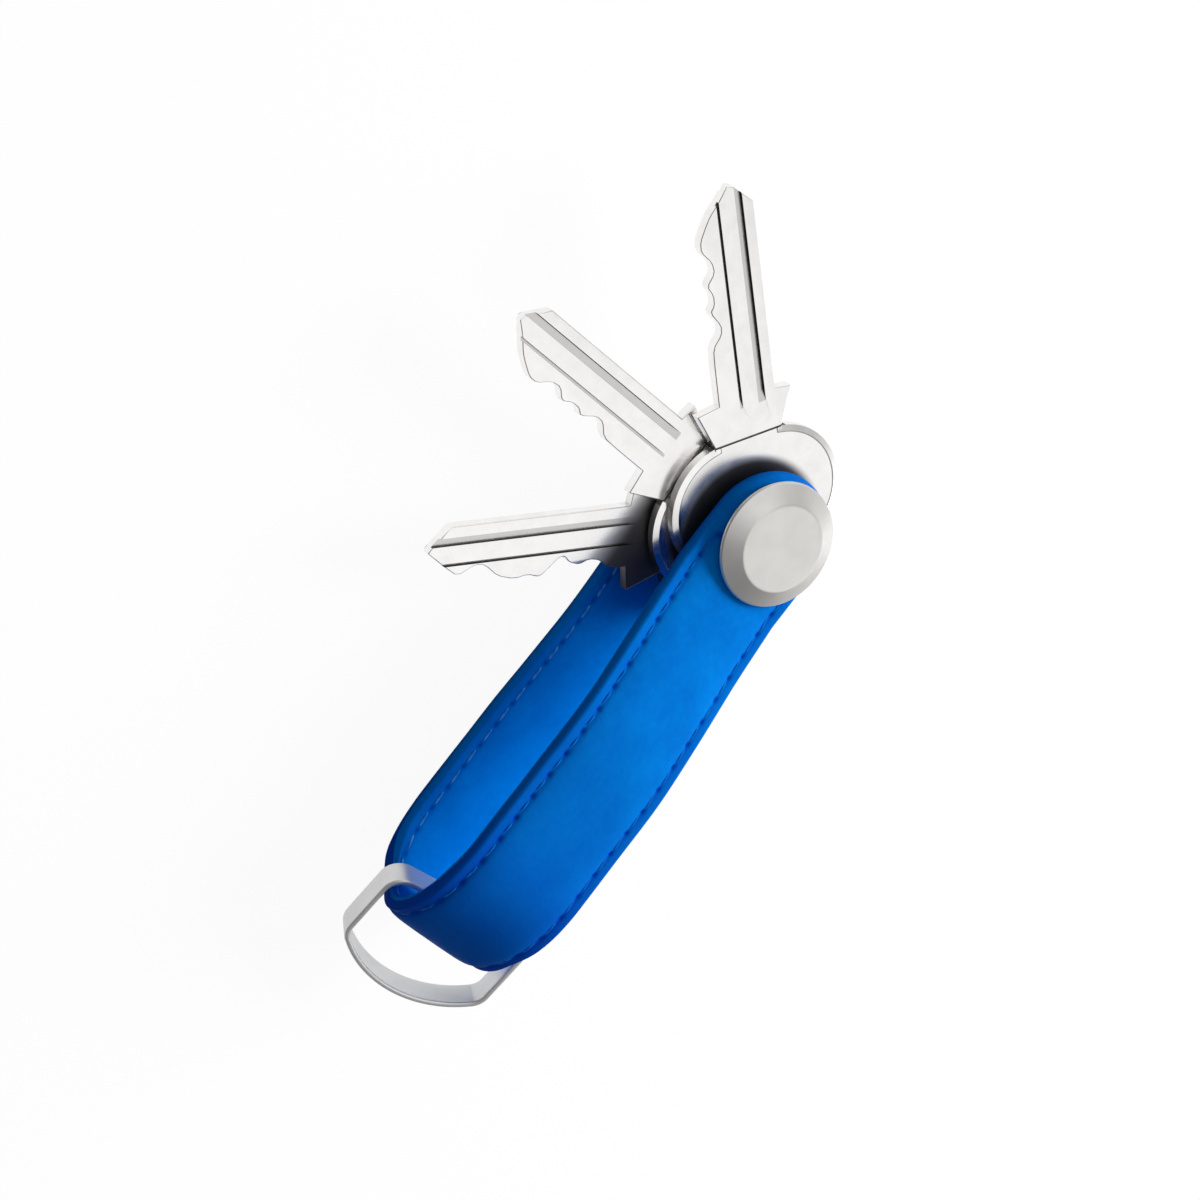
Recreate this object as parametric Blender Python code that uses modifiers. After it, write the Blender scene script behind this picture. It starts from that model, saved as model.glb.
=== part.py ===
"""Key organizer: a folded leather strap clamped by a screwed post, with three keys and a D-ring.

Metres, +Z up. The origin is on the post's axis, in the plane of the front cap's flat face.
The strap runs toward -Y and folds there, and the keys fan out toward -X.
"""

import math

import bmesh
import bpy
from mathutils import Euler, Vector

# Clearance between touching pieces, and the overrun of every cutter
GAP = 0.0003
OVERRUN = 0.0020
WELD_DISTANCE = 0.000001
SEAM_DISTANCE = 0.00001

# Front and rear cap
CAP_RADIUS = 0.0090
CAP_FLAT_RADIUS = 0.0062
CAP_RISE = 0.0016
CAP_RIM = 0.00055
CAP_EDGE_ROUND = 0.00018
COIN_SLOT_WIDTH = 0.0016
COIN_SLOT_DEPTH = 0.0007

# Hollow post of the front cap, and the screw shank of the rear cap inside it
POST_RADIUS = 0.0025
BORE_RADIUS = 0.0020
SHANK_RADIUS = 0.0017
BORE_TIP_ROOM = 0.0010

# Washers on the post
WASHER_RADIUS = 0.0065
WASHER_PLAY = 0.0003
FRONT_WASHER_THICKNESS = 0.00121
SPACER_THICKNESS = 0.00088
SPACER_COUNT = 3

# Strap: a lining and an outer leather with a crowned padding between them
STRAP_HALF_WIDTH = 0.0100
STRAP_END_SETBACK = 0.0005
LINING_THICKNESS = 0.0008
OUTER_THICKNESS = 0.0008
PADDING_CROWN = 0.0006
PADDING_INSET = 0.0026
STRAP_HOLE_PLAY = 0.0003
FLAT_REACH = 0.0090
RISE_LENGTH = 0.0300
RISE_HEIGHT = 0.00236
SPREAD_START = 0.0140
SPREAD_LENGTH = 0.0260
FOLD_HALF_GAP = 0.00715
FOLD_START = 0.0559
FOLD_DEPTH = 0.0128
FOLD_APEX_DROP = 0.0011
NOTCH_START = 0.0632
NECK_HALF_WIDTH = 0.0079
NOTCH_RUN = 0.0010

# Keys: one blank, cut twice alike and once otherwise
KEY_THICKNESS = 0.00188
KEY_REACH = 0.0504
KEY_HOLE_PLAY = 0.0004
HEAD_RADIUS = 0.0095
HEAD_CENTRE_REACH = 0.0046
HEAD_SPREAD = 0.0074
HEAD_SIDE_SHIFT = -0.0007
NECK_LENGTH = 0.00024
NECK_WIDTH = 0.0107
SHOULDER_REACH = 0.0198
SHOULDER_WIDTH = 0.0147
SHOULDER_LIP = 0.0004
BLADE_WIDTH = 0.0088
BLADE_BACK = 0.0056
TIP_RISE = 0.0034
TIP_CHAMFER = 0.0035
GROOVE_DEPTH = 0.00050
THIN_GROOVE_WIDTH = 0.00045
WIDE_GROOVE_WIDTH = 0.0013
THIN_GROOVE_RISE = 0.0054
WIDE_GROOVE_RISE = 0.0021
BACK_GROOVE_RISE = 0.0037
GROOVE_START = 0.0155
LOW_KEY_HOLE_REACH = 0.0022
LOW_KEY_HOLE_DROP = 0.0015

# Places along the cut part of the blade, and heights across its width
COMMON_BITTING_SHARES = [
    (0.938, 0.557), (0.876, 0.773), (0.837, 0.864), (0.778, 0.983), (0.729, 0.989),
    (0.670, 0.830), (0.618, 0.807), (0.569, 0.960), (0.520, 0.875), (0.474, 0.875),
    (0.444, 0.960), (0.373, 0.807), (0.330, 0.812), (0.278, 0.985), (0.180, 1.000),
]
LOW_KEY_BITTING_SHARES = [
    (0.990, 0.420), (0.912, 0.648), (0.846, 0.818), (0.765, 0.670), (0.716, 0.682),
    (0.647, 0.898), (0.562, 0.977), (0.497, 0.932), (0.435, 1.000), (0.376, 0.818),
    (0.343, 0.716), (0.317, 0.705), (0.291, 0.818), (0.239, 0.875), (0.190, 0.807),
    (0.137, 0.841), (0.092, 0.965), (0.039, 1.000),
]

# D-ring: a flat band, its bar held in the fold
RING_THICKNESS = 0.00085
RING_WIDTH = 0.0041
RING_HALF_SPAN = 0.01105
RING_LENGTH = 0.0154
RING_BOW_RISE = 0.00455
RING_BAR_BEND = 0.0022
RING_BOW_BEND = 0.0024
RING_BAR_INSET = 0.0033
RING_BAR_LIFT = 0.000235
RING_SIDE_SHIFT = 0.0003
RING_TILT = Euler((math.radians(22.5), math.radians(-12.5), math.radians(7.4)), "XYZ")

# Facets
ROUND_STEPS = 64
POST_STEPS = 40
FOLD_STEPS = 20
LEG_STEPS = 13
CROWN_STEPS = 10
END_STEPS = 24
BEND_STEPS = 5
BOW_STEPS = 16
HEAD_STEPS = 20
FOLD_POWER = 1.9
EDGE_ANGLE = math.radians(25)

# Key directions around the post, from +X
KEYS = [
    ("key_front", 142.9, COMMON_BITTING_SHARES, (0.0, 0.0)),
    ("key_middle", 181.1, COMMON_BITTING_SHARES, (0.0, 0.0)),
    ("key_rear", 219.4, LOW_KEY_BITTING_SHARES, (-LOW_KEY_HOLE_REACH, LOW_KEY_HOLE_DROP)),
]

# The stack on the post, measured down from the front face
CAP_UNDERSIDE = CAP_RISE + CAP_RIM
STRAP_THICKNESS = LINING_THICKNESS + OUTER_THICKNESS + 2 * GAP + PADDING_CROWN
FRONT_INNER_Z = -(CAP_UNDERSIDE + GAP + STRAP_THICKNESS)
STACK_HEIGHT = (
    GAP
    + FRONT_WASHER_THICKNESS
    + GAP
    + len(KEYS) * (KEY_THICKNESS + GAP)
    + SPACER_COUNT * (SPACER_THICKNESS + GAP)
)
REAR_INNER_Z = FRONT_INNER_Z - STACK_HEIGHT
REAR_UNDERSIDE_Z = REAR_INNER_Z - STRAP_THICKNESS - GAP
REAR_FACE_Z = REAR_UNDERSIDE_Z - CAP_UNDERSIDE
POST_CENTRE_Z = (FRONT_INNER_Z + REAR_INNER_Z) / 2
FOLD_CENTRE_Z = POST_CENTRE_Z + RISE_HEIGHT
STRAP_HOLE_RADIUS = POST_RADIUS + STRAP_HOLE_PLAY


def clear_scene():
    for thing in list(bpy.data.objects):
        bpy.data.objects.remove(thing, do_unlink=True)


def new_collection(name):
    collection = bpy.data.collections.new(name)
    bpy.context.scene.collection.children.link(collection)
    return collection


def new_material(name, colour, roughness, metallic):
    material = bpy.data.materials.new(name)
    material.use_nodes = True
    shader = material.node_tree.nodes["Principled BSDF"]
    shader.inputs["Base Color"].default_value = (*colour, 1.0)
    shader.inputs["Roughness"].default_value = roughness
    shader.inputs["Metallic"].default_value = metallic
    material.diffuse_color = (*colour, 1.0)
    return material


def add_object(name, mesh, collection, material=None):
    thing = bpy.data.objects.new(name, mesh)
    collection.objects.link(thing)
    if material:
        mesh.materials.clear()
        mesh.materials.append(material)
    return thing


def hide_cutter(thing):
    thing.hide_render = True
    thing.display_type = "WIRE"


def smooth(thing):
    thing.data.shade_smooth()
    thing.data.set_sharp_from_angle(angle=EDGE_ANGLE)


def mesh_from_bmesh(name, shape):
    mesh = bpy.data.meshes.new(name)
    shape.to_mesh(mesh)
    shape.free()
    return mesh


def turned(name, profile, closed, steps, collection, material):
    """A profile in the XZ plane, at +X and running down its outer side, turned about Z."""
    mesh = bpy.data.meshes.new(name)
    edges = [(i, i + 1) for i in range(len(profile) - 1)]
    if closed:
        edges.append((len(profile) - 1, 0))
    mesh.from_pydata([(r, 0.0, z) for r, z in profile], edges, [])
    thing = add_object(name, mesh, collection, material)
    screw = thing.modifiers.new("Turn", "SCREW")
    screw.axis = "Z"
    screw.steps = steps
    screw.render_steps = steps
    screw.use_merge_vertices = True
    screw.merge_threshold = SEAM_DISTANCE
    screw.use_smooth_shade = True
    return thing


def extruded(name, loops, low_z, high_z, collection, material=None):
    """Closed outlines in the XY plane, the later ones as holes, extruded from low_z to high_z."""
    curve = bpy.data.curves.new(name, "CURVE")
    curve.dimensions = "2D"
    curve.fill_mode = "BOTH"
    curve.extrude = (high_z - low_z) / 2
    for loop in loops:
        spline = curve.splines.new("POLY")
        spline.points.add(len(loop) - 1)
        for point, (x, y) in zip(spline.points, loop):
            point.co = (x, y, 0.0, 1.0)
        spline.use_cyclic_u = True
    outline = add_object(name, curve, collection)
    outline.location.z = (low_z + high_z) / 2
    bpy.context.view_layer.update()
    evaluated = outline.evaluated_get(bpy.context.evaluated_depsgraph_get())
    mesh = bpy.data.meshes.new_from_object(evaluated)
    place = outline.matrix_world.copy()
    bpy.data.objects.remove(outline)
    shape = bmesh.new()
    shape.from_mesh(mesh)
    bmesh.ops.remove_doubles(shape, verts=shape.verts, dist=WELD_DISTANCE)
    bmesh.ops.transform(shape, matrix=place, verts=shape.verts)
    bmesh.ops.recalc_face_normals(shape, faces=shape.faces)
    shape.to_mesh(mesh)
    shape.free()
    mesh.name = name
    return add_object(name, mesh, collection, material)


def block(name, low, high, collection):
    """A box between two corners."""
    shape = bmesh.new()
    bmesh.ops.create_cube(shape, size=1)
    for vertex in shape.verts:
        for axis in range(3):
            vertex.co[axis] = high[axis] if vertex.co[axis] > 0 else low[axis]
    thing = add_object(name, mesh_from_bmesh(name, shape), collection)
    hide_cutter(thing)
    return thing


def boolean(thing, cutter, operation):
    modifier = thing.modifiers.new(operation.title(), "BOOLEAN")
    modifier.operation = operation
    modifier.solver = "EXACT"
    modifier.object = cutter


def circle_points(centre, radius, steps):
    turns = [2 * math.pi * i / steps for i in range(steps)]
    return [(centre[0] + radius * math.cos(t), centre[1] + radius * math.sin(t)) for t in turns]


def arc_points(centre, radius, start, end, steps):
    turns = [start + (end - start) * i / steps for i in range(steps + 1)]
    return [(centre[0] + radius * math.cos(t), centre[1] + radius * math.sin(t)) for t in turns]


def fillet(before, corner, after, radius, steps):
    """Points of the arc that rounds one corner of an outline."""
    corner = Vector(corner)
    inward = (Vector(before) - corner).normalized()
    outward = (Vector(after) - corner).normalized()
    half_angle = inward.angle(outward) / 2
    centre = corner + (inward + outward).normalized() * radius / math.sin(half_angle)
    start = corner + inward * radius / math.tan(half_angle) - centre
    end = corner + outward * radius / math.tan(half_angle) - centre
    turns = [start.slerp(end, i / steps).normalized() for i in range(steps + 1)]
    return [tuple(centre + turn * radius) for turn in turns]


def smoothstep(value):
    share = min(max(value, 0.0), 1.0)
    return share * share * (3 - 2 * share)


def strap_path():
    """The strap's inner face seen along X, as (y, z): rear leg, fold, front leg."""
    leg_start = STRAP_HALF_WIDTH - STRAP_END_SETBACK + OVERRUN
    legs = []
    for i in range(LEG_STEPS):
        y = leg_start - (leg_start + FOLD_START) * i / LEG_STEPS
        rise = RISE_HEIGHT * math.sin(math.pi / 2 * min(max((-y - FLAT_REACH) / RISE_LENGTH, 0), 1))
        spread = smoothstep((-y - SPREAD_START) / SPREAD_LENGTH)
        half_gap = STACK_HEIGHT / 2 + (FOLD_HALF_GAP - STACK_HEIGHT / 2) * spread
        legs.append((y, POST_CENTRE_Z + rise, half_gap))
    rear = [(y, centre - half_gap) for y, centre, half_gap in legs]
    front = [(y, centre + half_gap) for y, centre, half_gap in reversed(legs)]
    fold = []
    for i in range(FOLD_STEPS + 1):
        turn = math.pi * (i / FOLD_STEPS - 1 / 2)
        depth = max(math.cos(turn), 0.0) ** (2 / FOLD_POWER)
        height = math.copysign(abs(math.sin(turn)) ** (2 / FOLD_POWER), math.sin(turn))
        rise = FOLD_HALF_GAP * height - FOLD_APEX_DROP * (1 - abs(height))
        fold.append((-FOLD_START - FOLD_DEPTH * depth, FOLD_CENTRE_Z + rise))
    return rear + fold + front


def path_normals(path):
    """Unit normals of the path, pointing out of the loop."""
    normals = []
    for i in range(len(path)):
        before = Vector(path[max(i - 1, 0)])
        after = Vector(path[min(i + 1, len(path) - 1)])
        along = (after - before).normalized()
        normals.append(Vector((-along.y, along.x)))
    return normals


def strap_outline(inset):
    """The strap seen from above: a round end at the post, and a narrower neck at the fold."""
    half = STRAP_HALF_WIDTH - inset
    neck = NECK_HALF_WIDTH - inset
    end = arc_points((0.0, -STRAP_END_SETBACK), half, 0.0, math.pi, END_STEPS)
    far = -(FOLD_START + FOLD_DEPTH + STRAP_THICKNESS + OVERRUN)
    left = [(-half, -NOTCH_START + NOTCH_RUN), (-neck, -NOTCH_START - NOTCH_RUN), (-neck, far)]
    right = [(-x, y) for x, y in reversed(left)]
    return end + left + right


def crown(x):
    return PADDING_CROWN * (1 - (x / STRAP_HALF_WIDTH) ** 2)


def strap_layer(name, inner_lift, outer_lift, inset, collection, cutters, material):
    """A sheet bent along the strap's path, between two lifts off the inner face, cut to outline."""
    path = strap_path()
    normals = path_normals(path)
    rows = len(path) - 1
    shape = bmesh.new()
    bmesh.ops.create_grid(shape, x_segments=CROWN_STEPS, y_segments=rows, size=1)
    sheet = shape.faces[:]
    top = bmesh.ops.extrude_face_region(shape, geom=sheet, use_keep_orig=True)
    lifted = {item for item in top["geom"] if isinstance(item, bmesh.types.BMVert)}
    for vertex in shape.verts:
        row = round((vertex.co.y + 1) / 2 * rows)
        x = vertex.co.x * (STRAP_HALF_WIDTH - inset + OVERRUN)
        lift = (outer_lift if vertex in lifted else inner_lift)(x)
        y, z = Vector(path[row]) + normals[row] * lift
        vertex.co = (x, y, z)
    bmesh.ops.recalc_face_normals(shape, faces=shape.faces)
    layer = add_object(name, mesh_from_bmesh(name, shape), collection, material)
    hole = circle_points((0.0, 0.0), STRAP_HOLE_RADIUS, POST_STEPS)
    low, high = REAR_FACE_Z - OVERRUN, OVERRUN
    outline = extruded(name + "_outline", [strap_outline(inset), hole], low, high, cutters)
    hide_cutter(outline)
    boolean(layer, outline, "INTERSECT")
    smooth(layer)
    return layer


def build_strap(collection, cutters):
    leather = new_material("blue_leather", (0.0, 0.119, 0.555), 0.55, 0.0)
    lining_leather = new_material("blue_lining_leather", (0.0, 0.133, 0.603), 0.6, 0.0)
    board = new_material("leather_board", (0.42, 0.27, 0.15), 0.9, 0.0)
    base = LINING_THICKNESS
    strap_layer(
        "strap_lining", lambda x: 0.0, lambda x: base, 0.0, collection, cutters, lining_leather
    )
    strap_layer(
        "strap_padding",
        lambda x: base + GAP,
        lambda x: base + GAP + crown(x),
        PADDING_INSET,
        collection,
        cutters,
        board,
    )
    strap_layer(
        "strap_outer",
        lambda x: base + 2 * GAP + crown(x),
        lambda x: base + 2 * GAP + crown(x) + OUTER_THICKNESS,
        0.0,
        collection,
        cutters,
        leather,
    )


def round_edges(thing):
    bevel = thing.modifiers.new("Round", "BEVEL")
    bevel.width = CAP_EDGE_ROUND
    bevel.segments = 1
    bevel.limit_method = "ANGLE"
    bevel.angle_limit = EDGE_ANGLE


def build_front_cap(collection):
    post_end = REAR_UNDERSIDE_Z + GAP
    bore_top = -CAP_UNDERSIDE - BORE_TIP_ROOM
    profile = [
        (0.0, 0.0),
        (CAP_FLAT_RADIUS, 0.0),
        (CAP_RADIUS, -CAP_RISE),
        (CAP_RADIUS, -CAP_UNDERSIDE),
        (POST_RADIUS, -CAP_UNDERSIDE),
        (POST_RADIUS, post_end),
        (BORE_RADIUS, post_end),
        (BORE_RADIUS, bore_top),
        (0.0, bore_top),
    ]
    steel = new_material("blasted_steel", (0.62, 0.61, 0.60), 0.42, 1.0)
    round_edges(turned("front_cap", profile, False, ROUND_STEPS, collection, steel))


def build_rear_cap(collection, cutters):
    shank_top = -CAP_UNDERSIDE - BORE_TIP_ROOM - BORE_TIP_ROOM
    profile = [
        (0.0, shank_top),
        (SHANK_RADIUS, shank_top),
        (SHANK_RADIUS, REAR_UNDERSIDE_Z),
        (CAP_RADIUS, REAR_UNDERSIDE_Z),
        (CAP_RADIUS, REAR_UNDERSIDE_Z - CAP_RIM),
        (CAP_FLAT_RADIUS, REAR_FACE_Z),
        (0.0, REAR_FACE_Z),
    ]
    steel = new_material("blasted_steel_rear", (0.60, 0.59, 0.58), 0.42, 1.0)
    cap = turned("rear_cap", profile, False, ROUND_STEPS, collection, steel)
    round_edges(cap)
    slot = block(
        "coin_slot",
        (-CAP_RADIUS - OVERRUN, -COIN_SLOT_WIDTH / 2, REAR_FACE_Z - OVERRUN),
        (CAP_RADIUS + OVERRUN, COIN_SLOT_WIDTH / 2, REAR_FACE_Z + COIN_SLOT_DEPTH),
        cutters,
    )
    boolean(cap, slot, "DIFFERENCE")


def build_washer(name, top, thickness, collection, material):
    inner = POST_RADIUS + WASHER_PLAY
    bottom = top - thickness
    profile = [(WASHER_RADIUS, top), (WASHER_RADIUS, bottom), (inner, bottom), (inner, top)]
    turned(name, profile, True, POST_STEPS, collection, material)
    return bottom - GAP


def key_outline(bitting_shares, shift):
    """The key seen from the front, its blade toward +X: neck, shoulder, blade, shoulder, head."""
    middle = HEAD_SIDE_SHIFT
    back = -BLADE_BACK
    cut_length = KEY_REACH - SHOULDER_REACH
    meet = math.asin((NECK_WIDTH - HEAD_SPREAD) / 2 / HEAD_RADIUS)
    neck_reach = HEAD_CENTRE_REACH + HEAD_RADIUS * math.cos(meet) + NECK_LENGTH
    points = [
        (neck_reach, middle - NECK_WIDTH / 2),
        (SHOULDER_REACH - SHOULDER_LIP, middle - SHOULDER_WIDTH / 2),
        (SHOULDER_REACH, back),
        (KEY_REACH - TIP_CHAMFER, back),
        (KEY_REACH, back + TIP_RISE),
    ]
    for along, across in bitting_shares:
        points.append((SHOULDER_REACH + along * cut_length, back + across * BLADE_WIDTH))
    points += [
        (SHOULDER_REACH, back + BLADE_WIDTH),
        (SHOULDER_REACH - SHOULDER_LIP, middle + SHOULDER_WIDTH / 2),
        (neck_reach, middle + NECK_WIDTH / 2),
    ]
    upper = (HEAD_CENTRE_REACH, middle + HEAD_SPREAD / 2)
    lower = (HEAD_CENTRE_REACH, middle - HEAD_SPREAD / 2)
    points += arc_points(upper, HEAD_RADIUS, meet, math.pi, HEAD_STEPS)
    points += arc_points(lower, HEAD_RADIUS, math.pi, 2 * math.pi - meet, HEAD_STEPS)
    return [(x + shift[0], y + shift[1]) for x, y in points]


def build_key(name, azimuth, bitting_shares, shift, top, collection, cutters, material):
    bottom = top - KEY_THICKNESS
    hole = circle_points((0.0, 0.0), POST_RADIUS + KEY_HOLE_PLAY, POST_STEPS)
    outline = key_outline(bitting_shares, shift)
    key = extruded(name, [outline, hole], -KEY_THICKNESS / 2, KEY_THICKNESS / 2, collection, material)
    grooves = [
        ("thin", THIN_GROOVE_RISE, THIN_GROOVE_WIDTH, 1),
        ("wide", WIDE_GROOVE_RISE, WIDE_GROOVE_WIDTH, 1),
        ("back", BACK_GROOVE_RISE, WIDE_GROOVE_WIDTH, -1),
    ]
    for label, rise, width, side in grooves:
        centre = shift[1] - BLADE_BACK + rise
        start = shift[0] + GROOVE_START
        end = shift[0] + KEY_REACH + OVERRUN
        floor = side * (KEY_THICKNESS / 2 - GROOVE_DEPTH)
        outside = side * (KEY_THICKNESS / 2 + OVERRUN)
        low = (start, centre - width / 2, min(floor, outside))
        high = (end, centre + width / 2, max(floor, outside))
        cutter = block(f"{name}_{label}_groove", low, high, cutters)
        cutter.parent = key
        boolean(key, cutter, "DIFFERENCE")
    key.location.z = (top + bottom) / 2
    key.rotation_euler.z = math.radians(azimuth)
    return bottom - GAP


def build_stack(collection, cutters):
    """Everything that turns or is clamped on the post, from the front leather down."""
    steel = new_material("washer_steel", (0.52, 0.51, 0.50), 0.35, 1.0)
    top = FRONT_INNER_Z - GAP
    top = build_washer("front_washer", top, FRONT_WASHER_THICKNESS, collection, steel)
    for name, azimuth, bitting_shares, shift in KEYS:
        nickel = new_material("nickel_" + name, (0.74, 0.73, 0.70), 0.28, 1.0)
        top = build_key(name, azimuth, bitting_shares, shift, top, collection, cutters, nickel)
    for i in range(SPACER_COUNT):
        spacer_steel = new_material(f"spacer_steel_{i + 1}", (0.50, 0.50, 0.49), 0.38, 1.0)
        top = build_washer(f"spacer_{i + 1}", top, SPACER_THICKNESS, collection, spacer_steel)


def ring_outline(inset):
    """The D seen along its axis, its bar at y = 0 and its bow toward -Y."""
    half = RING_HALF_SPAN - inset
    bar = RING_THICKNESS / 2 - inset
    arm_end = -(RING_LENGTH - RING_BOW_RISE - RING_THICKNESS / 2)
    bow_radius = (RING_HALF_SPAN**2 + RING_BOW_RISE**2) / (2 * RING_BOW_RISE)
    centre_y = arm_end - RING_BOW_RISE + bow_radius
    radius = bow_radius - inset
    sweep = math.asin(half / radius)
    bow = arc_points((0.0, centre_y), radius, -math.pi / 2 - sweep, -math.pi / 2 + sweep, BOW_STEPS)
    left_top, right_top = (-half, bar), (half, bar)
    bar_bend, bow_bend = RING_BAR_BEND - inset, RING_BOW_BEND - inset
    points = fillet(right_top, left_top, bow[0], bar_bend, BEND_STEPS)
    points += fillet(left_top, bow[0], bow[1], bow_bend, BEND_STEPS)
    points += bow[1:-1]
    points += fillet(bow[-2], bow[-1], right_top, bow_bend, BEND_STEPS)
    points += fillet(bow[-1], right_top, left_top, bar_bend, BEND_STEPS)
    return points


def build_ring(collection):
    steel = new_material("ring_steel", (0.66, 0.66, 0.65), 0.3, 1.0)
    loops = [ring_outline(0.0), ring_outline(RING_THICKNESS)]
    ring = extruded("d_ring", loops, -RING_WIDTH / 2, RING_WIDTH / 2, collection, steel)
    fold_end = -(FOLD_START + FOLD_DEPTH)
    ring.location = (RING_SIDE_SHIFT, fold_end + RING_BAR_INSET, FOLD_CENTRE_Z + RING_BAR_LIFT)
    ring.rotation_euler = RING_TILT


def main():
    clear_scene()
    parts = new_collection("KeyOrganizer")
    cutters = new_collection("Cutters")
    build_front_cap(parts)
    build_rear_cap(parts, cutters)
    build_strap(parts, cutters)
    build_stack(parts, cutters)
    build_ring(parts)


main()
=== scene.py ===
import math

import bpy
from mathutils import Euler, Matrix, Vector, noise


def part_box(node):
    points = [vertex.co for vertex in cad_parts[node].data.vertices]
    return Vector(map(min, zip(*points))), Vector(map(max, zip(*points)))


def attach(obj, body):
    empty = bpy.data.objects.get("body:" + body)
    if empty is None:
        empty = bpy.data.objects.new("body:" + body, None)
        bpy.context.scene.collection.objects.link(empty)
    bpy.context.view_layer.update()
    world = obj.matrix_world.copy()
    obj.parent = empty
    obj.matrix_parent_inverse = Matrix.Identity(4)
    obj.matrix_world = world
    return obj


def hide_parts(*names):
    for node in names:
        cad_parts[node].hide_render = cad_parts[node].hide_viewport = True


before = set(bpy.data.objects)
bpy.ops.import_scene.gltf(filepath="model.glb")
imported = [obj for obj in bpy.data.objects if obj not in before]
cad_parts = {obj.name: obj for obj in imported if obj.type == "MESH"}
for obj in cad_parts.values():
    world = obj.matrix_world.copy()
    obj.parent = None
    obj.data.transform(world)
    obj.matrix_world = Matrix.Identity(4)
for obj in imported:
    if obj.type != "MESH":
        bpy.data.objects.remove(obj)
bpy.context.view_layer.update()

# Key organizer: a folded and stitched leather strap on a screwed post, three keys and a D-ring.
# Sizes in the dictionaries are in millimetres.
mm = 0.001
bpy.context.scene.view_settings.view_transform = "Standard"


def deselectAll():
    active = bpy.context.view_layer.objects.active
    if active and active.mode != "OBJECT":
        bpy.ops.object.mode_set(mode="OBJECT")
    bpy.ops.object.select_all(action="DESELECT")


def pick(*things):
    deselectAll()
    for thing in things:
        thing.select_set(True)
    bpy.context.view_layer.objects.active = things[0]


def named(name):
    thing = bpy.context.object
    thing.name = name
    thing.data.name = name
    return thing


def applyAll(thing):
    pick(thing)
    for modifier in list(thing.modifiers):
        bpy.ops.object.modifier_apply(modifier=modifier.name)


def placeInMesh(thing):
    pick(thing)
    bpy.ops.object.transform_apply(location=True, rotation=True, scale=True)


def smoothByAngle(thing, degrees):
    pick(thing)
    bpy.ops.object.shade_smooth_by_angle(angle=math.radians(degrees))


def tidyMesh(thing, distance=0.00001):
    pick(thing)
    bpy.ops.object.mode_set(mode="EDIT")
    bpy.ops.mesh.select_all(action="SELECT")
    bpy.ops.mesh.remove_doubles(threshold=distance)
    bpy.ops.mesh.normals_make_consistent(inside=False)
    bpy.ops.object.mode_set(mode="OBJECT")


def boolean(thing, cutter, operation):
    modifier = thing.modifiers.new("cut", "BOOLEAN")
    modifier.operation = operation
    modifier.solver = "EXACT"
    modifier.object = cutter
    applyAll(thing)
    bpy.data.objects.remove(cutter)


def roundEdges(thing, width, segments, degrees):
    bevel = thing.modifiers.new("round", "BEVEL")
    bevel.width = width * mm
    bevel.segments = segments
    bevel.limit_method = "ANGLE"
    bevel.angle_limit = math.radians(degrees)
    bevel.harden_normals = False
    applyAll(thing)


def flatFaces(thing):
    weighted = thing.modifiers.new("flat", "WEIGHTED_NORMAL")
    weighted.keep_sharp = True
    applyAll(thing)


def gridPiece(name, rows, columns, place):
    # a flat grid whose points are then put where place(row, column) says, in millimetres
    deselectAll()
    bpy.ops.mesh.primitive_grid_add(x_subdivisions=columns - 1, y_subdivisions=rows - 1, size=2)
    thing = named(name)
    for vertex in thing.data.vertices:
        column = round((vertex.co.x + 1) / 2 * (columns - 1))
        row = round((vertex.co.y + 1) / 2 * (rows - 1))
        vertex.co = Vector(place(row, column)) * mm
    return thing


def outlinePiece(name, loops, halfThickness, edge, edgeSteps=1):
    # closed outlines in the XY plane as a plate with softened edges, the later loops as holes
    deselectAll()
    curve = bpy.data.curves.new(name, "CURVE")
    curve.dimensions = "2D"
    curve.fill_mode = "BOTH"
    curve.extrude = (halfThickness - edge) * mm
    curve.bevel_depth = edge * mm
    curve.bevel_resolution = edgeSteps
    curve.offset = -edge * mm
    for loop in loops:
        spline = curve.splines.new("POLY")
        spline.points.add(len(loop) - 1)
        for point, (x, y) in zip(spline.points, loop):
            point.co = (x * mm, y * mm, 0.0, 1.0)
        spline.use_cyclic_u = True
    thing = bpy.data.objects.new(name, curve)
    bpy.context.collection.objects.link(thing)
    pick(thing)
    bpy.ops.object.convert(target="MESH")
    thing = named(name)
    tidyMesh(thing, 0.000001)
    return thing


def blockPiece(name, low, high):
    deselectAll()
    centre = [(a + b) / 2 * mm for a, b in zip(low, high)]
    bpy.ops.mesh.primitive_cube_add(size=1, location=centre)
    thing = named(name)
    thing.scale = [(b - a) * mm for a, b in zip(low, high)]
    placeInMesh(thing)
    return thing


def arc(centre, radius, start, end, steps):
    turns = [start + (end - start) * i / steps for i in range(steps + 1)]
    return [(centre[0] + radius * math.cos(t), centre[1] + radius * math.sin(t)) for t in turns]


def easeBetween(value, low, high):
    share = min(max((value - low) / (high - low), 0.0), 1.0)
    return share * share * (3 - 2 * share)


def toLinear(colour):
    parts = [int(colour[i:i + 2], 16) / 255 for i in (1, 3, 5)]
    return [c / 12.92 if c <= 0.04045 else ((c + 0.055) / 1.055) ** 2.4 for c in parts] + [1.0]


def addNode(tree, kind, settings=None, links=None):
    node = tree.nodes.new(kind)
    for key, value in (settings or {}).items():
        if isinstance(key, int) or key in node.inputs:
            node.inputs[key].default_value = value
        else:
            setattr(node, key, value)
    for key, source in (links or {}).items():
        tree.links.new(source, node.inputs[key])
    return node


def newMaterial(name):
    material = bpy.data.materials.new(name)
    material.use_nodes = True
    tree = material.node_tree
    return material, tree, tree.nodes["Principled BSDF"]


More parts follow.
